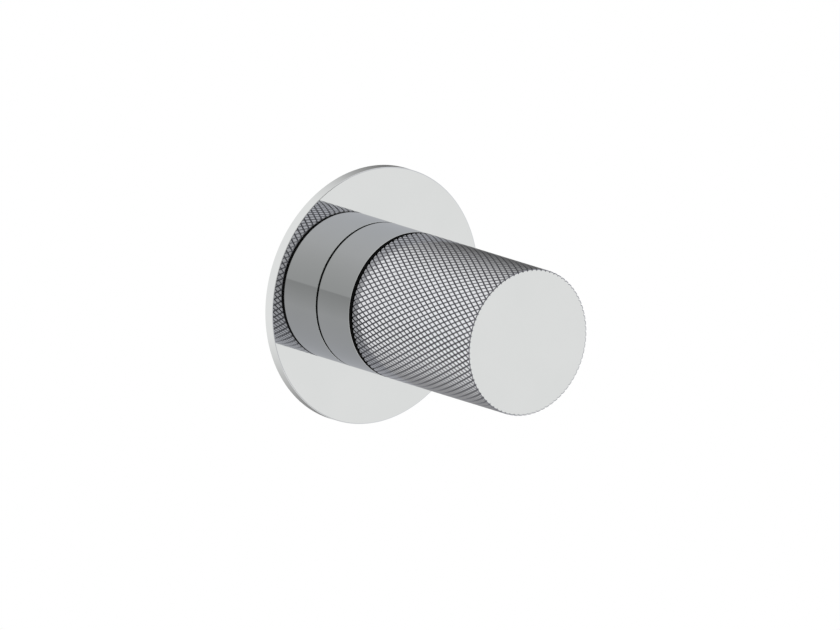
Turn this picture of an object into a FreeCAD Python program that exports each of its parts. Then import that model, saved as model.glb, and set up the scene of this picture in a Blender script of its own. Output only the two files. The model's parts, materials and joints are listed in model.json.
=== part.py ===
"""Wall-mounted remote control tap: round wall plate, smooth collar and a long
diamond-knurled handle that turns a quarter-turn ceramic headwork.

Row frame: the wall plane is Y = 0, the tap points out along -Y, +Z is up, +X is right.
Every part is first drawn about a local axis Z that is the distance out of the wall
(local X stays X, local Y is up) and is turned into the row frame when it is written.
All lengths are millimetres, all angles degrees.
"""
import FreeCAD, Part
import Mesh
import math
import os

os.makedirs("parts", exist_ok=True)
Vec = FreeCAD.Vector

# visible trim
plate_r = 35.0              # wall plate
plate_t = 3.0
plate_edge = 0.35           # small break on the plate's front edge
handle_r = 20.0             # collar and knurl crests share this radius
collar_len = 14.0
groove_w = 1.4              # shadow groove between collar and handle
periods = 17                # knurl diamonds along the handle
knurl_pitch = 2.975         # axial length of one diamond
starts = 80                 # knurl diamonds round the handle
knurl_depth = 0.35
small_edge = 0.3            # break on turned edges
foot_gap = 0.3              # dark seal line between the plate and the collar
edge_break = 0.08           # crisp edge beside a dark line
seal_inset = 0.03           # dark rings stay this far inside the chrome round them
foot_seal_w = 1.45          # seal in the collar's foot
foot_lip = 0.7              # collar's wall outside that seal's root
glide_gap = 0.35            # glide ring to the turning handle
gasket_inset = 1.5          # plate's rim outside the gasket

# headwork, behind and through the plate
thread_r = 10.48            # G 1/2 pipe thread, outside
thread_len = 8.5
nose_r = 9.3
nose_wall = 1.5
nose_tip = 22.5             # depth of the metal nose behind the wall plane
flange_r = 14.4
flange_t = 2.0
hex_af = 24.0
hex_h = 4.0
neck_len = 16.0             # threaded neck that the mounting sleeve screws on
window_w = 6.5              # two radial outlet windows
plate_clear = 0.6           # plate hole round the headwork's flange
body_seal_inset = 0.9       # flange outside the seal in its back
body_seal_w = 1.6
window_wall = 0.9           # nose between the windows and the pipe thread

# spindle and quarter-turn stop
shaft_bore_r = 5.0
seal_land = 1.4             # depth of the spindle's seal grooves
seal_w = 1.8
first_seal = 4.0            # seal positions, from the plate's back
second_seal = 10.0
circlip_t = 0.9
circlip_seat = 0.77         # depth of its groove
circlip_gap = 0.4           # circlip to the neck's end
shaft_play = 0.03           # radial running clearance of the spindle
turn_range = 90.0
lug_width = 40.0
lug_t = 3.0
lug_root_wall = 0.9         # collar of the spindle that carries the lug
lug_floor = 1.4             # stop chamber's start in front of the windows
stop_slack = 3.0            # angle left beyond each end of the travel
axial_gap = 0.3             # turning faces to fixed faces
spline_teeth = 20
spline_r = 3.95
spline_root_r = 3.45
spline_play = 0.03
spline_len = 12.0

# ceramic discs
disc_t = 2.5
disc_film = 0.05            # lapped faces
disc_clear = 0.35           # moving disc to the nose bore
driver_t = 2.0
disc_sunk = 2.0             # depth of the fixed disc in the nose
tab_depth = 1.2
port_r0 = 2.4
port_wall = 1.6             # disc rim outside its ports
port_angle = 80.0
seat_seal_out = 1.5         # how far the seat seal stands out of the nose

# handle fixing
skirt_wall = 3.0            # wall of the handle's open end
collar_foot_wall = 3.1
bush_wall = 2.95
bush_len = 4.5
bush_seat = 0.8             # depth of the bush's groove in the sleeve
bush_play = 0.05            # radial running clearance of the guide bush
glide_seat = 2.0            # depth of the glide ring's seat in the collar
sleeve_nose = 8.5           # how far the mounting sleeve stands out of the collar
sleeve_wall = 5.0           # from the sleeve's thread to the collar's
sleeve_step = 0.2           # its nose is this much slimmer
bush_lip = 1.0              # sleeve left in front of the bush
hub_r = 9.0                 # handle's inner bore and the adapter in it
hub_rim = 1.5               # adapter's flange, width and thickness
hub_len = 16.5
hub_flat_cut = 0.5
hub_gap = 0.5               # adapter to the mounting sleeve
hub_ring_in = 1.1           # adapter's ring groove, from the flange
hub_ring_w = 1.4
grub_r = 2.5                # M5 set screw from below
grub_sunk = 2.5             # its outer end below the knurl crests
key_af = 2.5
screw_r = 2.0               # M4 screw on the axis
screw_head_r = 3.5
screw_head_h = 3.2
screw_web = 2.0             # adapter's metal under the screw head
gasket_w = 4.5
gasket_t = 1.2
seal_t = 1.1

# values that follow
collar_top = plate_t + collar_len
handle_back = collar_top + groove_w
handle_front = handle_back + periods * knurl_pitch
hex_top = flange_t + hex_h
neck_top = hex_top + neck_len
nose_bore_r = nose_r - nose_wall
shaft_r = shaft_bore_r - shaft_play
seal_groove_r = shaft_r - seal_land
skirt_r = handle_r - skirt_wall
collar_foot_r = handle_r - collar_foot_wall
bush_r = skirt_r - bush_play
sleeve_nose_r = bush_r - bush_wall + bush_seat
sleeve_r = sleeve_nose_r + sleeve_step
neck_r = sleeve_r - sleeve_wall
sleeve_top = collar_top + sleeve_nose
bush_d1 = sleeve_top - bush_lip
bush_d0 = bush_d1 - bush_len
glide_top = handle_back - glide_gap
glide_r = handle_r - seal_inset
foot_seal_r = handle_r - seal_inset
foot_seal_in = foot_seal_r - foot_seal_w
foot_seal_out = handle_r - foot_lip
foot_seal_root = plate_t + seal_t
gasket_r = plate_r - gasket_inset
plate_hole_r = flange_r + plate_clear
body_seal_r = flange_r - body_seal_inset
body_seal_in = body_seal_r - body_seal_w
moving_disc_r = nose_bore_r - disc_clear
port_r1 = moving_disc_r - port_wall
seal_back = -nose_tip - seat_seal_out
fixed_d0 = -nose_tip + disc_sunk
fixed_d1 = fixed_d0 + disc_t
moving_d0 = fixed_d1 + disc_film
moving_d1 = moving_d0 + disc_t
driver_d1 = moving_d1 + driver_t
window_d0 = driver_d1 + 0.1
window_d1 = -thread_len - window_wall
stop_d0 = window_d1 + lug_floor
stop_d1 = stop_d0 + lug_t
washer_t = 0.7
shoulder_d = stop_d1 + washer_t + axial_gap
lug_r = moving_disc_r
lug_root_r = shaft_r + lug_root_wall
circlip_d0 = neck_top + circlip_gap
circlip_d1 = circlip_d0 + circlip_t
circlip_root_r = shaft_r - circlip_seat
hub_back = sleeve_top + hub_gap
hub_step = hub_back + hub_rim
hub_front = hub_step + hub_len
spline_start = hub_back - 0.2
spline_end = spline_start + spline_len
screw_seat = spline_end + screw_web
grub_d = (hub_step + hub_front) / 2
hub_flat = hub_r - hub_flat_cut
hub_ring_d0 = hub_step + hub_ring_in
hub_ring_d1 = hub_ring_d0 + hub_ring_w


def rod(radius, d0, d1):
    """Solid cylinder between two distances from the wall plane."""
    return Part.makeCylinder(radius, d1 - d0, Vec(0, 0, d0))


def ring(r_out, r_in, d0, d1):
    """Plain ring."""
    return rod(r_out, d0, d1).cut(rod(r_in, d0 - 1, d1 + 1))


def turned(profile):
    """Solid of revolution from (radius, distance) corners."""
    pts = [Vec(r, 0, d) for r, d in profile]
    face = Part.Face(Part.makePolygon(pts + [pts[0]]))
    return face.revolve(Vec(0, 0, 0), Vec(0, 0, 1), 360)


def sector(r_in, r_out, d0, d1, middle, width):
    """Block of a ring, centred on the angle middle, measured from local +X."""
    start = math.radians(middle - width / 2)
    end = math.radians(middle + width / 2)
    half = (start + end) / 2

    def at(r, a):
        return Vec(r * math.cos(a), r * math.sin(a), d0)

    outer = Part.Arc(at(r_out, start), at(r_out, half), at(r_out, end)).toShape()
    inner = Part.Arc(at(r_in, end), at(r_in, half), at(r_in, start)).toShape()
    side0 = Part.makeLine(at(r_in, start), at(r_out, start))
    side1 = Part.makeLine(at(r_out, end), at(r_in, end))
    face = Part.Face(Part.Wire([side0, outer, side1, inner]))
    return face.extrude(Vec(0, 0, d1 - d0))


def hexagon(across_flats, d0, d1):
    """Hexagonal prism with two flats level."""
    corner = across_flats / 2 / math.cos(math.radians(30))
    pts = [Vec(corner * math.cos(math.radians(60 * i)), corner * math.sin(math.radians(60 * i)), d0)
           for i in range(6)]
    return Part.Face(Part.makePolygon(pts + [pts[0]])).extrude(Vec(0, 0, d1 - d0))


def soft_ring(r_out, r_in, d0, d1, rounding):
    """Seal ring with rounded section corners, as pressed into its groove."""
    body = ring(r_out, r_in, d0, d1)
    return body.makeFillet(rounding, body.Edges)


def splined(tip_r, root_r, d0, d1):
    """Toothed prism: straight-sided teeth evenly round the axis."""
    pts = []
    step = 2 * math.pi / spline_teeth
    for i in range(spline_teeth):
        base = i * step
        for share, r in ((-0.30, root_r), (-0.16, tip_r), (0.16, tip_r), (0.30, root_r)):
            a = base + share * step
            pts.append(Vec(r * math.cos(a), r * math.sin(a), d0))
    return Part.Face(Part.makePolygon(pts + [pts[0]])).extrude(Vec(0, 0, d1 - d0))


def make_wall_plate():
    profile = [(plate_hole_r, 0), (plate_r, 0), (plate_r, plate_t - plate_edge),
               (plate_r - plate_edge, plate_t), (plate_hole_r, plate_t)]
    recess = ring(gasket_r, gasket_r - gasket_w, -1, gasket_t)
    return turned(profile).cut(recess)


def make_plate_gasket():
    return ring(gasket_r, gasket_r - gasket_w, 0, gasket_t)


def make_collar():
    thread_d = hex_top + 1.0
    foot_d = plate_t + foot_gap
    profile = [(collar_foot_r, plate_t), (foot_seal_in, plate_t), (foot_seal_in, foot_seal_root),
               (foot_seal_out, foot_seal_root), (foot_seal_out, foot_d),
               (handle_r - edge_break, foot_d), (handle_r, foot_d + edge_break),
               (handle_r, collar_top - edge_break), (handle_r - edge_break, collar_top),
               (skirt_r, collar_top),
               (skirt_r, collar_top - glide_seat), (sleeve_r, collar_top - glide_seat),
               (sleeve_r, thread_d), (collar_foot_r, thread_d)]
    return turned(profile)


def make_collar_seal():
    """Black seal in the collar's foot; its lip shows as the dark line on the plate."""
    return turned([(foot_seal_in, plate_t), (foot_seal_r, plate_t), (foot_seal_r, plate_t + foot_gap),
                   (foot_seal_out, plate_t + foot_gap), (foot_seal_out, foot_seal_root),
                   (foot_seal_in, foot_seal_root)])


def make_mounting_sleeve():
    """Brass tube on the headwork's neck: the collar screws on it, the bush rides its nose."""
    groove_r = sleeve_nose_r - bush_seat
    profile = [(neck_r, hex_top), (sleeve_r, hex_top), (sleeve_r, collar_top - glide_seat),
               (sleeve_nose_r, collar_top - glide_seat), (sleeve_nose_r, bush_d0), (groove_r, bush_d0),
               (groove_r, bush_d1), (sleeve_nose_r, bush_d1),
               (sleeve_nose_r, sleeve_top - small_edge), (sleeve_nose_r - small_edge, sleeve_top),
               (neck_r, sleeve_top)]
    return turned(profile)


def make_guide_bush():
    """Split plastic bush that steadies the handle's open end."""
    body = ring(bush_r, sleeve_nose_r - bush_seat, bush_d0, bush_d1)
    slot = sector(bush_r - bush_wall - 1, bush_r + 1, bush_d0 - 1, bush_d1 + 1, 90, 4)
    return body.cut(slot)


def make_glide_ring():
    """Black ring that closes the shadow groove."""
    profile = [(sleeve_nose_r, collar_top - glide_seat), (skirt_r, collar_top - glide_seat),
               (skirt_r, collar_top), (glide_r, collar_top), (glide_r, glide_top),
               (sleeve_nose_r, glide_top)]
    return turned(profile)


def make_headwork_body():
    """Brass body: nose with outlet windows, pipe thread, flange, hexagon, threaded neck."""
    outside = turned([(0, -nose_tip), (nose_r - small_edge, -nose_tip),
                      (nose_r, -nose_tip + small_edge), (nose_r, -thread_len),
                      (thread_r, -thread_len), (thread_r, 0), (flange_r, 0), (flange_r, flange_t),
                      (0, flange_t)])
    nut = hexagon(hex_af, flange_t, hex_top)
    neck = turned([(0, hex_top), (neck_r, hex_top), (neck_r, neck_top - small_edge),
                   (neck_r - small_edge, neck_top), (0, neck_top)])
    body = outside.fuse(nut).fuse(neck)
    body = body.cut(rod(nose_bore_r, -nose_tip - 1, shoulder_d))
    body = body.cut(rod(shaft_bore_r, shoulder_d - 1, neck_top + 1))
    body = body.cut(ring(body_seal_r, body_seal_in, -1, seal_t))
    window = Part.makeBox(4 * nose_r, window_w, window_d1 - window_d0,
                          Vec(-2 * nose_r, -window_w / 2, window_d0))
    body = body.cut(window)
    body = body.cut(disc_keys(-nose_tip - 1, fixed_d1))
    free = turn_range + lug_width + 2 * stop_slack
    stop = sector(lug_root_r + 0.4, nose_bore_r + 0.5, stop_d0, shoulder_d, 180, 360 - free)
    return body.fuse(stop).removeSplitter()


def make_body_seal():
    return soft_ring(body_seal_r, body_seal_in, 0, seal_t, 0.25)


def make_seat_seal():
    """Rubber seal that stands out of the nose onto the valve seat."""
    outer = nose_bore_r
    bore = nose_bore_r - 2.6
    profile = [(bore, seal_back), (outer - 1.1, seal_back), (outer, -nose_tip + 0.2),
               (outer, fixed_d0), (bore, fixed_d0)]
    return turned(profile)


def ports(d0, d1, middle):
    """The pair of opposite openings shared by the discs and the driver."""
    one = sector(port_r0, port_r1, d0 - 1, d1 + 1, middle, port_angle)
    two = sector(port_r0, port_r1, d0 - 1, d1 + 1, middle + 180, port_angle)
    return one.fuse(two)


def disc_keys(d0, d1):
    """The two ears that stop the fixed disc from turning in the nose."""
    one = sector(nose_bore_r - 0.5, nose_r - 0.4, d0, d1, 90, 24)
    two = sector(nose_bore_r - 0.5, nose_r - 0.4, d0, d1, 270, 24)
    return one.fuse(two)


def make_fixed_disc():
    disc = rod(nose_bore_r - 0.05, fixed_d0, fixed_d1).cut(ports(fixed_d0, fixed_d1, 0))
    return disc.fuse(disc_keys(fixed_d0, fixed_d1)).removeSplitter()


def driver_tabs():
    root = moving_disc_r - 1.2
    one = sector(root, moving_disc_r, moving_d1 - tab_depth, moving_d1, 0, 30)
    two = sector(root, moving_disc_r, moving_d1 - tab_depth, moving_d1, 180, 30)
    return one.fuse(two)


def make_moving_disc():
    disc = rod(moving_disc_r, moving_d0, moving_d1).cut(ports(moving_d0, moving_d1, 90))
    return disc.cut(driver_tabs())


def spindle_tongue():
    depth = 0.8 * driver_t
    blade = Part.makeBox(3.0, 10.0, depth, Vec(-1.5, -5.0, driver_d1 - depth))
    return blade.common(rod(4.4, moving_d0, driver_d1 + 1))


def make_disc_driver():
    """Carrier that turns the moving disc with the spindle."""
    body = rod(moving_disc_r, moving_d1, driver_d1).cut(ports(moving_d1, driver_d1, 90))
    return body.fuse(driver_tabs()).cut(spindle_tongue()).removeSplitter()


def make_spindle():
    """Splined spindle with its stop lug, seal grooves and the tongue that drives the disc."""
    profile = [(0, driver_d1), (shaft_r - 1, driver_d1), (shaft_r - 1, stop_d0),
               (lug_root_r, stop_d0), (lug_root_r, stop_d1), (shaft_r, stop_d1)]
    for d in (first_seal, second_seal):
        profile += [(shaft_r, d), (seal_groove_r, d), (seal_groove_r, d + seal_w), (shaft_r, d + seal_w)]
    profile += [(shaft_r, circlip_d0), (circlip_root_r, circlip_d0), (circlip_root_r, circlip_d1),
                (shaft_r, circlip_d1), (shaft_r, spline_start - 0.8), (spline_r, spline_start),
                (0, spline_start)]
    lug = sector(shaft_r - 1, lug_r, stop_d0, stop_d1, -turn_range / 2, lug_width)
    spline = splined(spline_r, spline_root_r, spline_start, spline_end)
    body = turned(profile).fuse(lug).fuse(spindle_tongue()).fuse(spline)
    body = body.cut(rod(screw_r, spline_start + 1, spline_end + 1))
    return body.removeSplitter()


def make_spindle_seal(d0):
    return soft_ring(shaft_r, seal_groove_r, d0, d0 + seal_w, 0.4)


def make_thrust_washer():
    return ring(lug_root_r, shaft_r, stop_d1, stop_d1 + washer_t)


def make_circlip():
    """Open spring ring in front of the neck; it holds the spindle in."""
    inner = circlip_root_r
    outer = shaft_r + 1.3
    ear_r = shaft_r + 2.3
    body = ring(outer, inner, circlip_d0, circlip_d1)
    ears = sector(inner + 0.2, ear_r, circlip_d0, circlip_d1, 90, 70)
    gap = sector(inner - 1.5, ear_r + 1, circlip_d0 - 1, circlip_d1 + 1, 90, 24)
    body = body.fuse(ears).cut(gap)
    for side in (-1, 1):
        a = math.radians(90 + side * 23)
        eye_r = (inner + ear_r) / 2
        eye = Vec(eye_r * math.cos(a), eye_r * math.sin(a), circlip_d0 - 1)
        body = body.cut(Part.makeCylinder(0.6, circlip_t + 2, eye))
    return body.removeSplitter()


def make_spline_adapter():
    """Hub pressed in the handle, pushed on the spindle's spline."""
    flange = hub_r + hub_rim
    body = turned([(0, hub_back), (flange, hub_back), (flange, hub_step), (hub_r, hub_step),
                   (hub_r, hub_front - small_edge), (hub_r - small_edge, hub_front), (0, hub_front)])
    body = body.cut(splined(spline_r + spline_play, spline_root_r + spline_play, hub_back - 1, spline_end))
    body = body.cut(rod(spline_r + 0.65, hub_back - 1, hub_back + 0.4))
    body = body.cut(rod(screw_r + 0.1, spline_end - 1, screw_seat + 1))
    body = body.cut(rod(screw_head_r + 0.8, screw_seat, hub_front + 1))
    body = body.cut(ring(hub_r + 1, hub_r - 1.0, hub_ring_d0, hub_ring_d1))
    half = 2 * grub_r
    return body.cut(Part.makeBox(2 * hub_r + 4, 5, 2 * half, Vec(-hub_r - 2, -hub_flat - 5, grub_d - half)))


def make_adapter_ring():
    return soft_ring(hub_r, hub_r - 1.0, hub_ring_d0, hub_ring_d1, 0.3)


def make_adapter_screw():
    """M4 socket screw along the axis."""
    top = screw_seat + screw_head_h
    head = rod(screw_head_r, screw_seat, top)
    head = head.makeChamfer(0.3, [e for e in head.Edges if e.CenterOfMass.z > top - 0.1])
    body = head.fuse(rod(screw_r - 0.02, spline_start + 3, screw_seat + 0.5))
    return body.cut(hexagon(1.5 * screw_r, top - 2, top + 1)).removeSplitter()


def make_grub_screw():
    """M5 socket set screw, lying in the handle's wall below the axis."""
    length = handle_r - grub_sunk - hub_flat
    body = Part.makeCylinder(grub_r - 0.02, length, Vec(0, -hub_flat, grub_d), Vec(0, -1, 0))
    key = hexagon(key_af, 0, 3.0)
    key.rotate(Vec(0, 0, 0), Vec(1, 0, 0), 90)
    key.translate(Vec(0, -hub_flat - length + 3.0, grub_d))
    return body.cut(key)


def knurled_barrel():
    """Closed solid whose wall is a lattice of low diamond pyramids.

    The lattice has a point every half pitch along and round the handle. Crests and
    valleys alternate, and each cell is split along the groove that joins its valleys,
    so grooves cross both ways round the barrel, at the same angle to its axis.
    """
    columns = 2 * starts
    rows = 2 * periods

    def point(j, k):
        crest = (j + k) % 2 == 1
        r = handle_r if crest else handle_r - knurl_depth
        a = 2 * math.pi * (j % columns) / columns
        return Vec(r * math.cos(a), r * math.sin(a), handle_back + knurl_pitch * k / 2)

    grid = [[point(j, k) for k in range(rows + 1)] for j in range(columns)]
    corners = []
    for j in range(columns):
        nxt = (j + 1) % columns
        for k in range(rows):
            a, b = grid[j][k], grid[nxt][k]
            c, d = grid[nxt][k + 1], grid[j][k + 1]
            if (j + k) % 2 == 0:
                corners += [a, b, c, a, c, d]
            else:
                corners += [a, b, d, b, c, d]
    triangles = [corners[i:i + 3] for i in range(0, len(corners), 3)]
    wall = Part.Shape()
    wall.makeShapeFromMesh(Mesh.Mesh(triangles).Topology, 1e-4)

    def end_face(d):
        rim = [v.Point for v in wall.Vertexes if abs(v.Point.z - d) < 1e-3]
        rim.sort(key=lambda p: math.atan2(p.y, p.x))
        return Part.Face(Part.makePolygon(rim + [rim[0]]))

    skin = Part.makeCompound(list(wall.Faces) + [end_face(handle_back), end_face(handle_front)])
    skin.sewShape()
    solid = Part.Solid(skin.Shells[0] if skin.ShapeType != "Shell" else skin)
    if solid.Volume < 0:
        solid.reverse()
    return solid


def make_handle():
    """One-piece knurled handle: bored from the back, tapped from below."""
    bore = rod(skirt_r, handle_back - 1, hub_step).fuse(rod(hub_r, hub_step - 1, hub_front + 0.6))
    tapping = Part.makeCylinder(grub_r, handle_r, Vec(0, -hub_r + 2, grub_d), Vec(0, -1, 0))
    return knurled_barrel().cut(bore.fuse(tapping))


def write(node, shape):
    """Turn a part into the row frame and write it as one solid."""
    out = shape.copy()
    out.rotate(Vec(0, 0, 0), Vec(1, 0, 0), 90)
    if len(out.Solids) != 1:
        raise ValueError(node + " is not one solid")
    solid = out.Solids[0]
    if not solid.isValid() or solid.Volume <= 0:
        raise ValueError(node + " is not a sound solid")
    solid.exportStep("parts/" + node + ".step")
    print(node, round(solid.Volume / 1000.0, 3), "cm3")


write("wall_plate", make_wall_plate())
write("plate_gasket", make_plate_gasket())
write("collar", make_collar())
write("collar_seal", make_collar_seal())
write("mounting_sleeve", make_mounting_sleeve())
write("guide_bush", make_guide_bush())
write("glide_ring", make_glide_ring())
write("headwork_body", make_headwork_body())
write("body_seal", make_body_seal())
write("seat_seal", make_seat_seal())
write("fixed_disc", make_fixed_disc())
write("moving_disc", make_moving_disc())
write("disc_driver", make_disc_driver())
write("spindle", make_spindle())
write("spindle_seal_inner", make_spindle_seal(first_seal))
write("spindle_seal_outer", make_spindle_seal(second_seal))
write("thrust_washer", make_thrust_washer())
write("circlip", make_circlip())
write("spline_adapter", make_spline_adapter())
write("adapter_ring", make_adapter_ring())
write("adapter_screw", make_adapter_screw())
write("grub_screw", make_grub_screw())
write("handle", make_handle())
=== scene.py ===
import bpy
import bmesh
import json
import math
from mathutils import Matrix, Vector


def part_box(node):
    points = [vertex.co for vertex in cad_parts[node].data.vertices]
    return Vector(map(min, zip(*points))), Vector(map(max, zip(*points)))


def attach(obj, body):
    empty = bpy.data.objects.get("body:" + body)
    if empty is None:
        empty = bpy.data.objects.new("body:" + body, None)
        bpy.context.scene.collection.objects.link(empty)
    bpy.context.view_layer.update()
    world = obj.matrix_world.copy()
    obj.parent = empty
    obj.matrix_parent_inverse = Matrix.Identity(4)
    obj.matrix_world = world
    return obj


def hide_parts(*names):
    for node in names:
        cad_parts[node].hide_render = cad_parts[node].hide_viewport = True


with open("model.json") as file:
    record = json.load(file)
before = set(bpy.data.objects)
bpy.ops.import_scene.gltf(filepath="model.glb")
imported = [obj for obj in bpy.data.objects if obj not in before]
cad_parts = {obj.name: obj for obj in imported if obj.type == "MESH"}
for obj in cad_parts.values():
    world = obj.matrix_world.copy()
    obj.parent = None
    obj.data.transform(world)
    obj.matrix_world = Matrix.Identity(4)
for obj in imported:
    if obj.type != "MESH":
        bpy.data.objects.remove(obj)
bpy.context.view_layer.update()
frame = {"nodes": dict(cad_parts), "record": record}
nodes = frame["nodes"]

MM = 0.001

# Sizes from the solids: a box is its low and high corner, and the tap points along -Y
plate_lo, plate_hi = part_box("wall_plate")
collar_lo, collar_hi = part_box("collar")
handle_lo, handle_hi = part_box("handle")
gasket_lo, gasket_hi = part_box("plate_gasket")
foot_seal_lo, foot_seal_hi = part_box("collar_seal")
sleeve_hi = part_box("mounting_sleeve")[1]
hub_lo, hub_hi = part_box("spline_adapter")
grub_lo, grub_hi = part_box("grub_screw")
plate_r = plate_hi.x
plate_front = -plate_lo.y
handle_r = collar_hi.x                      # the collar and the knurl's lands share it
collar_top = -collar_lo.y
handle_back = -handle_hi.y
handle_front = -handle_lo.y
gasket_r = gasket_hi.x
gasket_front = -gasket_lo.y
foot_seal_root = -foot_seal_lo.y
sleeve_r = sleeve_hi.x
glide_back = -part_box("glide_ring")[1].y
hub_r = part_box("adapter_ring")[1].x
hub_back = -hub_hi.y
hub_front = -hub_lo.y
grub_d = -(grub_lo.y + grub_hi.y) / 2

# Walls and clearances, as in the solids
plate_hole_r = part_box("headwork_body")[1].x + 0.6 * MM
gasket_in = gasket_r - 4.5 * MM
skirt_r = handle_r - 3.0 * MM               # bore at the handle's open end
collar_foot_r = handle_r - 3.1 * MM
foot_seal_in = foot_seal_hi.x - 1.45 * MM
foot_seal_out = handle_r - 0.7 * MM         # the seal's root, inside the collar's lip
collar_thread = -sleeve_hi.y + 1.0 * MM     # where the collar's thread starts
hub_step = hub_back + 1.5 * MM              # the bore narrows past the adapter's flange
hub_end = hub_front + 0.6 * MM
hole_r = 2.5 * MM                           # the set screw's hole
hole_reach = 1.5 * MM                       # its cutter past the bore and past the knurl

# Knurl and edges, finer than in the solids
starts = 80                                 # diamonds round the handle
periods = 17                                # diamonds along it
groove_share = 0.31                         # of a cell's width
groove_depth = 0.30 * MM
rim_break = 0.10 * MM                       # end face's chamfer, along the axis
rim_width = 0.25 * MM                       # and across it
face_rim = 1.2 * MM                         # outer ring of the end face
back_break = 0.18 * MM                      # edge at the handle's open end
plate_edge = ((0, 0.15), (0.11, 0.03), (0.23, 0))   # in from the rim and back from the front, in mm
collar_edge = 0.08 * MM
foot = plate_front + 0.42 * MM              # the solid's gap is 0.3, a thinner line than the photo's
snap = 1e-8                                 # metres from a cut that count as on it
on_cut = 1e-7                               # and, once cut, as part of its open edge

# View of the photograph
photo_w, photo_h = 840, 630
plate_px, plate_py = 375.36, 295.56         # centre of the plate's front, in the photo's pixels
photo_width = 0.22445                       # metres that the picture is wide
azimuth, elevation = math.radians(-38.07), math.radians(13.955)
camera_distance = 0.6
photo_look = Vector((0.599, 0.764, -0.241)).normalized()    # the way the photo looks


# Shader nodes

def math_node(tree, operation, *values):
    """Math node on sockets or plain numbers."""
    node = tree.nodes.new("ShaderNodeMath")
    node.operation = operation
    for socket, value in zip(node.inputs, values):
        if isinstance(value, float):
            socket.default_value = value
        else:
            tree.links.new(value, socket)
    return node.outputs[0]


def mixed(tree, factor, a, b, blend="MIX"):
    """Mix of two colours; the factor and the colours are sockets or fixed values."""
    node = tree.nodes.new("ShaderNodeMix")
    node.data_type = "RGBA"
    node.blend_type = blend
    for name, value in (("Factor", factor), ("A", a), ("B", b)):
        if isinstance(value, (float, tuple)):
            node.inputs[name].default_value = value
        else:
            tree.links.new(value, node.inputs[name])
    return node.outputs["Result"]


def ramp(tree, source, stops):
    """Colour ramp; a stop is a place from 0 to 1 and a grey or a colour."""
    node = tree.nodes.new("ShaderNodeValToRGB")
    line = node.color_ramp
    while len(line.elements) < len(stops):
        line.elements.new(0.5)
    for element, (place, value) in zip(line.elements, stops):
        element.position = place
        element.color = (*value, 1) if isinstance(value, tuple) else (value, value, value, 1)
    tree.links.new(source, node.inputs[0])
    return node.outputs[0]


def spread(tree, source, low, high):
    """A value from 0 to 1, spread from low to high."""
    span = tree.nodes.new("ShaderNodeMapRange")
    span.inputs["To Min"].default_value = low
    span.inputs["To Max"].default_value = high
    tree.links.new(source, span.inputs["Value"])
    return span.outputs[0]


def noise(tree, scale, detail=4.0):
    coord = tree.nodes.new("ShaderNodeTexCoord")
    tex = tree.nodes.new("ShaderNodeTexNoise")
    tex.inputs["Scale"].default_value = scale
    tex.inputs["Detail"].default_value = detail
    tree.links.new(coord.outputs["Object"], tex.inputs["Vector"])
    return tex.outputs[0]


def tint(tree, source, a, b):
    """Colour that drifts from a to b with the source."""
    return ramp(tree, source, [(0.35, a), (0.65, b)])


def background_rays(tree):
    """1 for the rays that show the background: camera, glossy and transmission."""
    path = tree.nodes.new("ShaderNodeLightPath")
    seen = math_node(tree, "MAXIMUM", path.outputs["Is Camera Ray"], path.outputs["Is Glossy Ray"])
    return math_node(tree, "MAXIMUM", seen, path.outputs["Is Transmission Ray"])


# Materials

def new_material(name):
    mat = bpy.data.materials.new(name)
    mat.use_nodes = True
    tree = mat.node_tree
    tree.nodes.clear()
    out = tree.nodes.new("ShaderNodeOutputMaterial")
    bsdf = tree.nodes.new("ShaderNodeBsdfPrincipled")
    tree.links.new(bsdf.outputs[0], out.inputs[0])
    return mat, tree, bsdf


def metal(name, a, b, rough, scale):
    """Plated metal whose colour and gloss drift a little."""
    mat, tree, bsdf = new_material(name)
    cloud = noise(tree, scale)
    tree.links.new(tint(tree, cloud, a, b), bsdf.inputs["Base Color"])
    tree.links.new(spread(tree, cloud, *rough), bsdf.inputs["Roughness"])
    bsdf.inputs["Metallic"].default_value = 1.0
    return mat


def turned_metal(name, a, b, rough):
    """Metal with fine turning lines round the tap's axis."""
    mat, tree, bsdf = new_material(name)
    coord = tree.nodes.new("ShaderNodeTexCoord")
    wave = tree.nodes.new("ShaderNodeTexWave")
    wave.wave_type = "BANDS"
    wave.bands_direction = "Y"
    wave.inputs["Scale"].default_value = 420.0
    wave.inputs["Distortion"].default_value = 0.0
    tree.links.new(coord.outputs["Object"], wave.inputs["Vector"])
    gloss = spread(tree, noise(tree, 180.0), rough * 0.8, rough * 1.2)
    tree.links.new(tint(tree, wave.outputs[0], a, b), bsdf.inputs["Base Color"])
    tree.links.new(gloss, bsdf.inputs["Roughness"])
    bsdf.inputs["Metallic"].default_value = 1.0
    return mat


def dull(name, a, b, rough, scale, grain, shine=0.5):
    """Rubber, plastic or ceramic with a fine grain."""
    mat, tree, bsdf = new_material(name)
    cloud = noise(tree, scale, detail=6.0)
    tree.links.new(tint(tree, cloud, a, b), bsdf.inputs["Base Color"])
    tree.links.new(spread(tree, cloud, rough - 0.06, rough + 0.06), bsdf.inputs["Roughness"])
    bump = tree.nodes.new("ShaderNodeBump")
    bump.inputs["Strength"].default_value = 0.25
    bump.inputs["Distance"].default_value = grain
    tree.links.new(cloud, bump.inputs["Height"])
    tree.links.new(bump.outputs[0], bsdf.inputs["Normal"])
    bsdf.inputs["Specular IOR Level"].default_value = shine
    return mat


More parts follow.
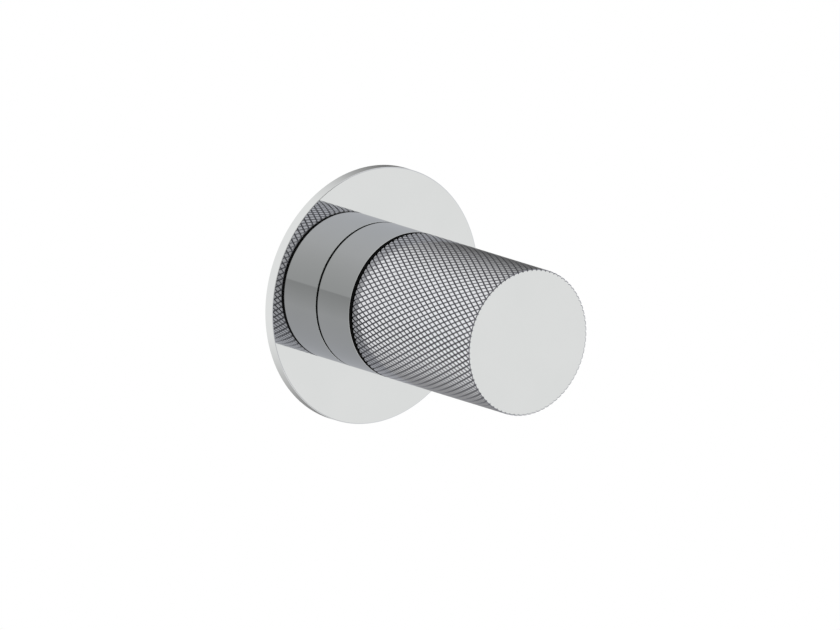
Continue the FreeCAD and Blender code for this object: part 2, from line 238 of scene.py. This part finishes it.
chrome = metal("polished_chrome", (0.714, 0.727, 0.721), (0.726, 0.737, 0.732),
               rough=(0.012, 0.03), scale=60.0)
knurl_metal = metal("knurled_chrome", (0.728, 0.733, 0.755), (0.756, 0.761, 0.785),
                    rough=(0.05, 0.12), scale=900.0)
# Painted shade: the knurl's groove walls get this darker, duller copy of its chrome, for the shade in
# the grooves
groove_shade_metal = metal("knurl_grooves_painted_shade", (0.300, 0.302, 0.322), (0.345, 0.347, 0.370),
                     rough=(0.14, 0.24), scale=900.0)
looks = {
    "polished_chrome": chrome,
    "knurled_chrome": knurl_metal,
    "turned_brass": turned_metal("turned_brass", (0.78, 0.60, 0.32), (0.84, 0.67, 0.38), rough=0.26),
    # Seal and glide ring: near black with almost no reflection, darker than real rubber and plastic, so
    # they show as black lines in the gaps at the collar's two ends: real black parts with painted shade
    "seal_rubber": dull("seal_rubber", (0.004, 0.004, 0.004), (0.008, 0.008, 0.008), rough=0.75,
                        scale=700.0, grain=0.05 * MM, shine=0.02),
    "black_plastic": dull("black_plastic", (0.003, 0.003, 0.003), (0.006, 0.006, 0.006), rough=0.75,
                          scale=900.0, grain=0.03 * MM, shine=0.02),
    "white_plastic": dull("white_plastic", (0.78, 0.77, 0.73), (0.84, 0.83, 0.80), rough=0.45,
                          scale=500.0, grain=0.03 * MM),
    "disc_ceramic": dull("disc_ceramic", (0.82, 0.80, 0.76), (0.88, 0.87, 0.83), rough=0.22,
                         scale=800.0, grain=0.01 * MM),
    "spring_steel": turned_metal("spring_steel", (0.46, 0.46, 0.47), (0.56, 0.56, 0.57), rough=0.3),
}
for entry in frame["record"]["subparts"]:
    target = nodes[entry["node"]].data
    target.materials.clear()
    target.materials.append(looks[entry["material_slot"]])


# Wall plate and collar

def at(r, angle, d):
    """Point at a radius and an angle about the tap's axis, and a distance out of the wall."""
    return (r * math.cos(angle), -d, r * math.sin(angle))


def link(name, mesh, body, stands_for, mat):
    """Puts a turned piece into the scene in place of its solid."""
    obj = bpy.data.objects.new(name, mesh)
    bpy.context.scene.collection.objects.link(obj)
    mesh.materials.append(mat)
    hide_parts(stands_for)
    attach(obj, body)


def lathe(name, profile, segments=360):
    """Closed ring turned about the tap's axis from (radius, distance out of the wall)."""
    mesh = bpy.data.meshes.new(name)
    verts, faces = [], []
    count = len(profile)
    for i in range(segments):
        angle = 2 * math.pi * i / segments
        verts += [at(r, angle, d) for r, d in profile]
        here, there = i * count, (i + 1) % segments * count
        for k in range(count):
            after = (k + 1) % count
            faces.append((here + k, there + k, there + after, here + after))
    mesh.from_pydata(verts, [], faces)
    mesh.update()
    bm = bmesh.new()
    bm.from_mesh(mesh)
    bmesh.ops.recalc_face_normals(bm, faces=bm.faces)
    bm.to_mesh(mesh)
    bm.free()
    mesh.shade_smooth()
    mesh.set_sharp_from_angle(angle=math.radians(6))
    return mesh


plate_mesh = lathe("wall_plate_look", [
    (plate_hole_r, 0), (gasket_in, 0), (gasket_in, gasket_front), (gasket_r, gasket_front),
    (gasket_r, 0), (plate_r, 0),
    *((plate_r - inset * MM, plate_front - setback * MM) for inset, setback in plate_edge),
    (plate_hole_r, plate_front)])
link("wall_plate_look", plate_mesh, "fixed", "wall_plate", chrome)

collar_mesh = lathe("collar_look", [
    (collar_foot_r, plate_front), (foot_seal_in, plate_front), (foot_seal_in, foot_seal_root),
    (foot_seal_out, foot_seal_root), (foot_seal_out, foot), (handle_r - collar_edge, foot),
    (handle_r, foot + collar_edge), (handle_r, collar_top - collar_edge),
    (handle_r - collar_edge, collar_top), (skirt_r, collar_top), (skirt_r, glide_back),
    (sleeve_r, glide_back), (sleeve_r, collar_thread), (collar_foot_r, collar_thread)])
link("collar_look", collar_mesh, "fixed", "collar", chrome)


# Knurled handle

def knurl_lattice():
    """Tube of flat-topped diamonds between V grooves, a little longer than the handle.

    The grooves of one family are numbered u and those of the other v. Each has three lines, its
    bottom and its two edges, so line number u_line is line u_line % 3 of groove u_line // 3.
    """
    pitch = (handle_front - handle_back) / periods
    step = 2 * math.pi / starts
    lines = (0.0, groove_share / 2, 1 - groove_share / 2)
    whole_turn = 2 * 3 * starts                         # growth of u_line + v_line in one turn
    index, verts, faces = {}, [], []

    def vertex(u_line, v_line):
        """Number of the vertex where two lines cross, also past a whole turn."""
        back = (u_line + v_line) // whole_turn * whole_turn // 2
        key = (u_line - back, v_line - back)
        if key not in index:
            u, v = (line // 3 + lines[line % 3] for line in key)
            low = key[0] % 3 == 0 or key[1] % 3 == 0
            index[key] = len(verts)
            verts.append(at(handle_r - groove_depth if low else handle_r, (u + v) / 2 * step,
                            handle_back + (u - v) / 2 * pitch))
        return index[key]

    def add_patch(u_line, v_line):
        """The face from these lines to the next two. Where two grooves cross, it is folded along the
        ridge that runs from the crossing to the diamond's corner."""
        a = vertex(u_line, v_line)
        b = vertex(u_line + 1, v_line)
        c = vertex(u_line + 1, v_line + 1)
        d = vertex(u_line, v_line + 1)
        corner = (u_line % 3, v_line % 3)
        if corner in ((0, 0), (2, 2)):
            faces.extend([(a, b, c), (a, c, d)])
        elif corner in ((0, 2), (2, 0)):
            faces.extend([(a, b, d), (b, c, d)])
        else:
            faces.append((a, b, c, d))

    for around in range(2 * starts):                    # in half diamonds, as is along
        for along in range(-2, 2 * periods + 2):
            if (around + along) % 2 == 0:
                for u_line in range(3):
                    for v_line in range(3):
                        add_patch(3 * (around + along) // 2 + u_line, 3 * (around - along) // 2 + v_line)
    mesh = bpy.data.meshes.new("handle_look")
    mesh.from_pydata(verts, [], faces)
    mesh.update()
    return mesh


def open_edge(bm, d):
    """Vertices of the open edge at a distance out of the wall, in order round the axis."""
    loop = [v for v in bm.verts if abs(v.co.y + d) < on_cut and v.is_boundary]
    return sorted(loop, key=lambda v: math.atan2(v.co.z, v.co.x))


def next_ring(bm, loop, d, radius=None, inset=0.0):
    """New ring at a radius, or inset from the loop's own, with faces from the loop to it."""
    ring = []
    for v in loop:
        r = math.hypot(v.co.x, v.co.z) - inset if radius is None else radius
        ring.append(bm.verts.new(at(r, math.atan2(v.co.z, v.co.x), d)))
    for i, v in enumerate(loop):
        j = (i + 1) % len(loop)
        bm.faces.new((v, loop[j], ring[j], ring[i]))
    return ring


def knurled_handle():
    """The lattice cut to length, with its end face and the bore from behind."""
    mesh = knurl_lattice()
    bm = bmesh.new()
    bm.from_mesh(mesh)
    knurl_back = handle_back + back_break
    knurl_front = handle_front - rim_break
    for d, outward in ((knurl_back, 1), (knurl_front, -1)):
        geom = list(bm.verts) + list(bm.edges) + list(bm.faces)
        bmesh.ops.bisect_plane(bm, geom=geom, dist=snap, plane_co=(0, -d, 0), plane_no=(0, outward, 0),
                               clear_outer=True, clear_inner=False)
    bmesh.ops.recalc_face_normals(bm, faces=bm.faces)
    edge = next_ring(bm, open_edge(bm, knurl_front), handle_front, inset=rim_width)
    bm.faces.new(next_ring(bm, edge, handle_front, radius=handle_r - face_rim))
    loop = next_ring(bm, open_edge(bm, knurl_back), handle_back, inset=back_break)
    for d, radius in ((handle_back, skirt_r), (hub_step, skirt_r), (hub_step, hub_r), (hub_end, hub_r)):
        loop = next_ring(bm, loop, d, radius=radius)
    bm.faces.new(loop)
    bmesh.ops.recalc_face_normals(bm, faces=bm.faces)
    bm.to_mesh(mesh)
    bm.free()
    return mesh


def cut_screw_hole(obj):
    """The set screw's hole under the handle."""
    top, bottom = hub_r - hole_reach, handle_r + hole_reach
    bm = bmesh.new()
    bmesh.ops.create_cone(bm, cap_ends=True, segments=48, radius1=hole_r, radius2=hole_r,
                          depth=bottom - top)
    cutter_mesh = bpy.data.meshes.new("screw_hole")
    bm.to_mesh(cutter_mesh)
    bm.free()
    cutter = bpy.data.objects.new("screw_hole", cutter_mesh)
    cutter.location = (0, -grub_d, -(top + bottom) / 2)
    bpy.context.scene.collection.objects.link(cutter)
    mod = obj.modifiers.new("hole", "BOOLEAN")
    mod.operation = "DIFFERENCE"
    mod.solver = "EXACT"
    mod.object = cutter
    deps = bpy.context.evaluated_depsgraph_get()
    mesh = bpy.data.meshes.new_from_object(obj.evaluated_get(deps))
    obj.modifiers.clear()
    obj.data = mesh
    bpy.data.objects.remove(cutter)


def colour_handle(obj, skin=0.6 * MM, level=0.97):
    """Chrome on the faces square to the axis, and on the slopes of the knurl the darker groove metal,
    which is painted shade for its grooves.
    """
    for face in obj.data.polygons:
        out = Vector((face.center.x, 0, face.center.z))
        if abs(face.normal.y) > level:
            face.material_index = 1
        elif out.length > handle_r - skin and face.normal.dot(out.normalized()) < level:
            face.material_index = 2


handle_mesh = knurled_handle()
handle = bpy.data.objects.new("handle_look", handle_mesh)
bpy.context.scene.collection.objects.link(handle)
for mat in (knurl_metal, chrome, groove_shade_metal):
    handle_mesh.materials.append(mat)
cut_screw_hole(handle)
colour_handle(handle)
handle.data.shade_flat()
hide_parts("handle")
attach(handle, "turning")


# Camera at the photograph's angle

def photo_camera():
    """Parallel view that has the plate's centre where the photo has it."""
    back = Vector((math.sin(azimuth) * math.cos(elevation), -math.cos(azimuth) * math.cos(elevation),
                   math.sin(elevation)))
    right = Vector((math.cos(azimuth), math.sin(azimuth), 0))
    up = Vector((-math.sin(elevation) * math.sin(azimuth), math.sin(elevation) * math.cos(azimuth),
                 math.cos(elevation)))
    pixel = photo_width / photo_w
    aim = Vector((0, -plate_front, 0))
    aim += right * (photo_w / 2 - plate_px) * pixel
    aim -= up * (photo_h / 2 - plate_py) * pixel
    data = bpy.data.cameras.new("camera")
    data.type = "ORTHO"
    data.ortho_scale = photo_width
    data.clip_start, data.clip_end = 0.01, 20
    camera = bpy.data.objects.new("camera", data)
    camera.location = aim + back * camera_distance
    camera.rotation_mode = "QUATERNION"
    camera.rotation_quaternion = (-back).to_track_quat("-Z", "Y")
    bpy.context.scene.collection.objects.link(camera)
    bpy.context.scene.camera = camera


# Studio: the chrome mirrors a room whose light depends on the ray's direction alone

def front_light(tree, mirrored, height, tall, across):
    """In front of the wall, for the plate, the end face and the plate's image of the collar: brighter
    upward and toward the mirrored view, with a soft shadow on the left."""
    light = ramp(tree, mirrored, [(0.168, 0.51), (0.33, 0.57), (0.57, 0.60), (0.82, 0.62), (0.90, 0.63),
                                  (0.985, 0.63), (0.992, 0.67), (0.9985, 1.0)])
    light = math_node(tree, "MULTIPLY_ADD", height, 0.125, light)
    level = ramp(tree, tall, [(0.33, 0.0), (0.39, 0.03), (0.535, 0.115), (0.545, 0.0)])
    shadow = math_node(tree, "MULTIPLY", level, ramp(tree, across, [(0.25, 1.0), (0.35, 0.0)]))
    return math_node(tree, "SUBTRACT", light, shadow)


def back_light(tree, onward, tall):
    """Beyond the tap, for the collar and the knurl's lands: they darken toward their silhouettes."""
    low = ramp(tree, onward, [(0.30, 1.0), (0.40, 0.98), (0.54, 0.86), (0.64, 0.73), (0.766, 0.57),
                              (0.86, 0.42), (0.92, 0.34), (0.985, 0.28)])
    high = ramp(tree, onward, [(0.30, 1.0), (0.40, 0.98), (0.54, 0.84), (0.63, 0.71), (0.713, 0.555),
                               (0.79, 0.445), (0.863, 0.34), (0.965, 0.18)])
    return mixed(tree, ramp(tree, tall, [(0.38, 0.0), (0.52, 1.0)]), low, high)


def side_light(tree, along, tall, across):
    """To the sides, for the knurl's grooves: bright below and on the right, dark at the upper left.
    The bright hoop at the front of it is for the plate's edge."""
    left = ramp(tree, tall, [(0.25, 0.95), (0.36, 0.66), (0.44, 0.40), (0.54, 0.24), (0.70, 0.20),
                             (0.86, 0.02)])
    right = ramp(tree, tall, [(0.70, 0.85), (0.80, 0.95)])
    sides = mixed(tree, ramp(tree, across, [(0.35, 0.0), (0.55, 1.0)]), left, right)
    return mixed(tree, ramp(tree, along, [(0.36, 1.0), (0.41, 0.0)]), sides, (0.85, 0.85, 0.85, 1))


def studio_world():
    """White for the camera, a grey room for reflections and even light for everything else."""
    world = bpy.data.worlds.new("studio")
    bpy.context.scene.world = world
    world.use_nodes = True
    tree = world.node_tree
    tree.nodes.clear()
    coord = tree.nodes.new("ShaderNodeTexCoord")

    def toward(direction):
        """Cosine between the ray and a direction."""
        dot = tree.nodes.new("ShaderNodeVectorMath")
        dot.operation = "DOT_PRODUCT"
        tree.links.new(coord.outputs["Generated"], dot.inputs[0])
        dot.inputs[1].default_value = direction
        return dot.outputs["Value"]

    def from_zero(cosine):
        """A cosine, from 0 to 1."""
        return math_node(tree, "MULTIPLY_ADD", cosine, 0.5, 0.5)

    height = toward((0, 0, 1))
    tall = from_zero(height)                    # 0 straight down, 1 straight up
    across = from_zero(toward((1, 0, 0)))       # 0 left, 1 right
    along = from_zero(toward((0, 1, 0)))        # 0 out of the wall, 1 into it
    onward = toward(photo_look)
    mirrored = toward((photo_look.x, -photo_look.y, photo_look.z))

    in_front = ramp(tree, along, [(0.15, 1.0), (0.225, 0.0)])
    beyond = ramp(tree, along, [(0.75, 0.0), (0.825, 1.0)])
    near_axis = ramp(tree, along, [(0.05, 1.0), (0.075, 0.0), (0.925, 0.0), (0.95, 1.0)])
    off_floor = ramp(tree, tall, [(0.39, 0.0), (0.44, 1.0)])
    dark = math_node(tree, "MULTIPLY", near_axis, off_floor)
    white = (1.0, 1.0, 1.0)
    blue = (0.975, 0.982, 1.050)
    cast = ramp(tree, mirrored, [(0.05, white), (0.25, (0.994, 0.989, 1.010)),
                                 (0.50, (0.987, 0.985, 1.027)), (0.90, blue), (0.985, blue),
                                 (0.997, white)])

    room = mixed(tree, in_front, side_light(tree, along, tall, across),
                 front_light(tree, mirrored, height, tall, across))
    room = mixed(tree, 1.0, room, cast, blend="MULTIPLY")
    room = mixed(tree, beyond, room, back_light(tree, onward, tall))
    room = mixed(tree, dark, room, (0.22, 0.22, 0.22, 1))

    camera_ray = tree.nodes.new("ShaderNodeLightPath").outputs["Is Camera Ray"]
    shown = tree.nodes.new("ShaderNodeBackground")
    tree.links.new(mixed(tree, camera_ray, room, (*white, 1)), shown.inputs["Color"])
    lamp = tree.nodes.new("ShaderNodeBackground")
    lamp.inputs["Color"].default_value = (*white, 1)
    lamp.inputs["Strength"].default_value = 0.75
    pick = tree.nodes.new("ShaderNodeMixShader")
    tree.links.new(background_rays(tree), pick.inputs[0])
    tree.links.new(lamp.outputs[0], pick.inputs[1])
    tree.links.new(shown.outputs[0], pick.inputs[2])
    out = tree.nodes.new("ShaderNodeOutputWorld")
    tree.links.new(pick.outputs[0], out.inputs["Surface"])


def pale_floor(radius=0.34, drop=0.42, white_share=0.9):
    """Round floor below the tap: white in the picture, with a trace of the tap's shadow."""
    mat = bpy.data.materials.new("floor")
    mat.use_nodes = True
    tree = mat.node_tree
    tree.nodes.clear()
    lit = tree.nodes.new("ShaderNodeBsdfDiffuse")
    lit.inputs["Color"].default_value = (0.9, 0.9, 0.9, 1)
    white = tree.nodes.new("ShaderNodeEmission")
    white.inputs["Color"].default_value = (1, 1, 1, 1)
    mix = tree.nodes.new("ShaderNodeMixShader")
    tree.links.new(math_node(tree, "MULTIPLY", background_rays(tree), white_share), mix.inputs[0])
    tree.links.new(lit.outputs[0], mix.inputs[1])
    tree.links.new(white.outputs[0], mix.inputs[2])
    out = tree.nodes.new("ShaderNodeOutputMaterial")
    tree.links.new(mix.outputs[0], out.inputs["Surface"])
    mesh = bpy.data.meshes.new("floor")
    bm = bmesh.new()
    bmesh.ops.create_circle(bm, cap_ends=True, segments=96, radius=radius)
    bm.to_mesh(mesh)
    bm.free()
    floor = bpy.data.objects.new("floor", mesh)
    floor.location = (0, 0, -drop)
    mesh.materials.append(mat)
    bpy.context.scene.collection.objects.link(floor)


def soft_lamp(name, place, size, watts):
    """Round area lamp aimed at the tap, hidden from the chrome."""
    data = bpy.data.lights.new(name, "AREA")
    data.shape = "DISK"
    data.size = size
    data.energy = watts
    lamp = bpy.data.objects.new(name, data)
    lamp.location = place
    lamp.rotation_mode = "QUATERNION"
    lamp.rotation_quaternion = (-Vector(place)).to_track_quat("-Z", "Y")
    lamp.visible_glossy = False
    bpy.context.scene.collection.objects.link(lamp)


photo_camera()
studio_world()
pale_floor()
soft_lamp("key", (-0.7, -0.9, 1.1), size=0.9, watts=6.0)
soft_lamp("fill", (0.9, -0.8, 0.5), size=0.9, watts=3.0)

bpy.context.scene.view_settings.view_transform = "Standard"
